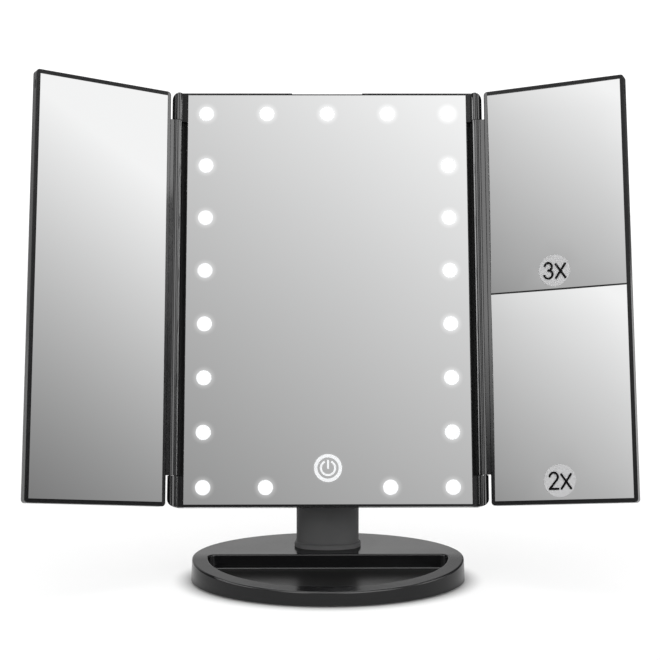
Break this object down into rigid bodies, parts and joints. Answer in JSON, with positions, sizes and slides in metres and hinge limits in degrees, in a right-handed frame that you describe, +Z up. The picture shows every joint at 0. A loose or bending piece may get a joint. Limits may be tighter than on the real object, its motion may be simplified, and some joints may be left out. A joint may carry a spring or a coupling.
{
  "type": "vanity mirror",
  "caption": "Free-standing lighted mirror with two folding side wings, a tilting head, and an oval weighted base with a tray.",
  "frame": {"origin": "on the surface that the mirror stands on, under the centre of the oval base", "axes": "+Z up, -Y towards the user, +X to the user's right along the row of mirrors"},
  "size_m": [0.332, 0.127, 0.287],
  "materials": {
    "black_abs": "black injection-moulded ABS, satin gloss",
    "black_trim": "black moulded ABS, fine grain",
    "base_plastic": "black moulded plastic, fine grain",
    "steel_weight": "stamped steel, raw",
    "screw_steel": "zinc-plated steel",
    "pin_steel": "ground steel",
    "nylon_washer": "natural nylon",
    "foot_rubber": "black rubber",
    "bracket_plastic": "black glass-filled nylon",
    "centre_mirror": "silvered float glass",
    "wing_mirror": "silvered float glass",
    "light_window": "frosted diffuser, lit from behind",
    "label_film": "frosted film",
    "white_plastic": "white moulded plastic",
    "circuit_board": "glass-epoxy circuit board",
    "light_chip": "white light-emitting diode with phosphor",
    "copper_foam": "copper-faced contact foam",
    "components": "moulded electronic components",
    "switch_case": "black moulded plastic",
    "socket_steel": "formed steel sleeve",
    "socket_plastic": "black moulded plastic",
    "battery_case": "printed steel can, plain",
    "contact_metal": "nickel-plated spring steel"
  },
  "bodies": {
    "stand": {"base_shell": "black_abs", "base_plate": "base_plastic", "base_screws": "screw_steel", "base_weight": "steel_weight", "non_slip_ring": "foot_rubber", "stand_collar": "black_abs", "post_front_shell": "black_abs", "post_rear_shell": "black_abs", "post_closing_screws": "screw_steel", "post_foot_screws": "screw_steel", "tilt_pin": "pin_steel", "friction_washers": "nylon_washer"},
    "head": {"batteries": "battery_case", "battery_contacts": "contact_metal", "battery_tray": "switch_case", "bracket_screws": "screw_steel", "centre_mirror": "centre_mirror", "charging_board": "circuit_board", "charging_socket": "socket_steel", "front_frame": "black_abs", "head_screws": "screw_steel", "hinge_pins": "pin_steel", "light_chips": "light_chip", "light_strip_bottom": "circuit_board", "light_strip_left": "circuit_board", "light_strip_right": "circuit_board", "light_strip_top": "circuit_board", "light_windows": "light_window", "main_board": "circuit_board", "main_board_parts": "components", "rear_shell": "black_abs", "reflector": "white_plastic", "socket_tongue": "socket_plastic", "switch_body": "switch_case", "tilt_bracket": "bracket_plastic", "touch_board": "circuit_board", "touch_pad": "copper_foam", "touch_ring": "light_window"},
    "left_wing": {"left_wing_frame": "black_abs", "left_wing_cover": "black_abs", "left_mirror": "wing_mirror"},
    "right_wing": {"right_wing_frame": "black_abs", "right_wing_cover": "black_abs", "mirror_2x": "wing_mirror", "mirror_3x": "wing_mirror", "label_2x": "label_film", "label_3x": "label_film"},
    "switch": {"switch_knob": "black_trim"},
    "door": {"battery_door": "black_trim"}
  },
  "joints": [
    {"name": "head_tilt", "type": "hinge", "parent": "stand", "child": "head", "pos_m": [0, 0.0249, 0.0598], "axis": [-1, 0, 0], "range_deg": [-15.4, 29.6]},
    {"name": "left_wing_hinge", "type": "hinge", "parent": "head", "child": "left_wing", "pos_m": [-0.0872, 0.02157, 0.16029], "axis": [0, 0.2656, 0.9641], "range_deg": [-30.6, 149.4]},
    {"name": "right_wing_hinge", "type": "hinge", "parent": "head", "child": "right_wing", "pos_m": [0.0872, 0.02157, 0.16029], "axis": [0, -0.2656, -0.9641], "range_deg": [-23.6, 156.4]},
    {"name": "power_switch_slide", "type": "slide", "parent": "head", "child": "switch", "axis": [-1, 0, 0], "range_m": [0, 0.003]},
    {"name": "battery_door_lift", "type": "slide", "parent": "head", "child": "door", "axis": [0, 0.9641, -0.2656], "range_m": [0, 0.02]}
  ]
}
